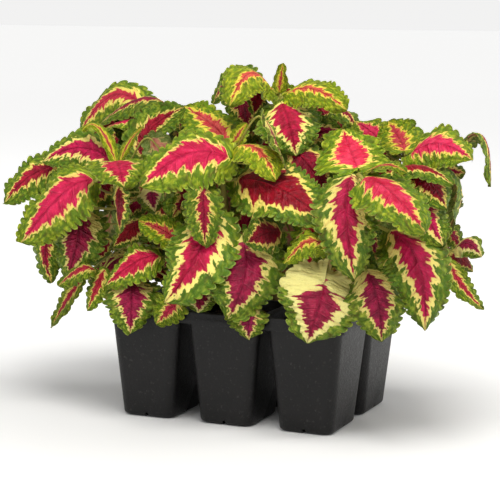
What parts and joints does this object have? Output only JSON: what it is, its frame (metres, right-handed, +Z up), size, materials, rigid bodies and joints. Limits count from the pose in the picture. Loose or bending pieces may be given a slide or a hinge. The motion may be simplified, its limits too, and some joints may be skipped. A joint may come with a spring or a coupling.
{
  "type": "potted coleus pack",
  "caption": "Coleus bedding plants with magenta, cream and green scalloped leaves, standing in a black formed plastic cell tray filled with soil.",
  "frame": {"origin": "bottom centre of the bounding box, on the surface the tray stands on", "axes": "+X runs along the tray's longer side, +Y from the side shown in the picture to the back, +Z up"},
  "size_m": [0.3548, 0.2004, 0.2433],
  "materials": {
    "formed_plastic": "satin, finely pebbled",
    "potting_soil": "crumbly, moist",
    "stem_skin": "smooth, slightly fleshy",
    "leaf_bright": "satin leaf",
    "leaf_lime": "satin leaf",
    "leaf_dark": "satin leaf",
    "leaf_small": "satin leaf",
    "leaf_crimson": "satin leaf",
    "leaf_pink": "satin leaf",
    "leaf_cream": "satin leaf",
    "leaf_old": "satin leaf",
    "leaf_mid": "satin leaf",
    "leaf_yellow": "satin leaf",
    "leaf_young": "satin leaf"
  },
  "bodies": {
    "root": {"cell_pack": "formed_plastic", "soil_plug_1": "potting_soil", "soil_plug_2": "potting_soil", "soil_plug_3": "potting_soil", "soil_plug_4": "potting_soil", "soil_plug_5": "potting_soil", "soil_plug_6": "potting_soil", "stem_1": "stem_skin", "stem_2": "stem_skin", "stem_3": "stem_skin", "stem_4": "stem_skin", "stem_5": "stem_skin", "stem_6": "stem_skin", "leaf_01": "leaf_bright", "leaf_02": "leaf_bright", "leaf_03": "leaf_dark", "leaf_04": "leaf_crimson", "leaf_05": "leaf_pink", "leaf_06": "leaf_crimson", "leaf_07": "leaf_old", "leaf_08": "leaf_cream", "leaf_09": "leaf_old", "leaf_10": "leaf_crimson", "leaf_11": "leaf_crimson", "leaf_12": "leaf_bright", "leaf_13": "leaf_pink", "leaf_14": "leaf_lime", "leaf_15": "leaf_crimson", "leaf_16": "leaf_yellow", "leaf_17": "leaf_small", "leaf_18": "leaf_yellow", "leaf_19": "leaf_young", "leaf_20": "leaf_young", "leaf_21": "leaf_young", "leaf_22": "leaf_young", "leaf_23": "leaf_old", "leaf_24": "leaf_mid", "leaf_25": "leaf_mid", "leaf_26": "leaf_small", "leaf_27": "leaf_small", "leaf_28": "leaf_small", "leaf_29": "leaf_old", "leaf_30": "leaf_bright", "leaf_31": "leaf_yellow", "leaf_32": "leaf_old", "leaf_33": "leaf_mid", "leaf_34": "leaf_dark", "leaf_35": "leaf_mid", "leaf_36": "leaf_dark", "leaf_37": "leaf_mid", "leaf_38": "leaf_crimson", "leaf_39": "leaf_mid", "leaf_40": "leaf_young", "leaf_41": "leaf_small", "leaf_42": "leaf_mid", "leaf_43": "leaf_bright", "leaf_44": "leaf_mid", "leaf_45": "leaf_mid", "leaf_46": "leaf_mid", "leaf_47": "leaf_mid"}
  },
  "joints": []
}
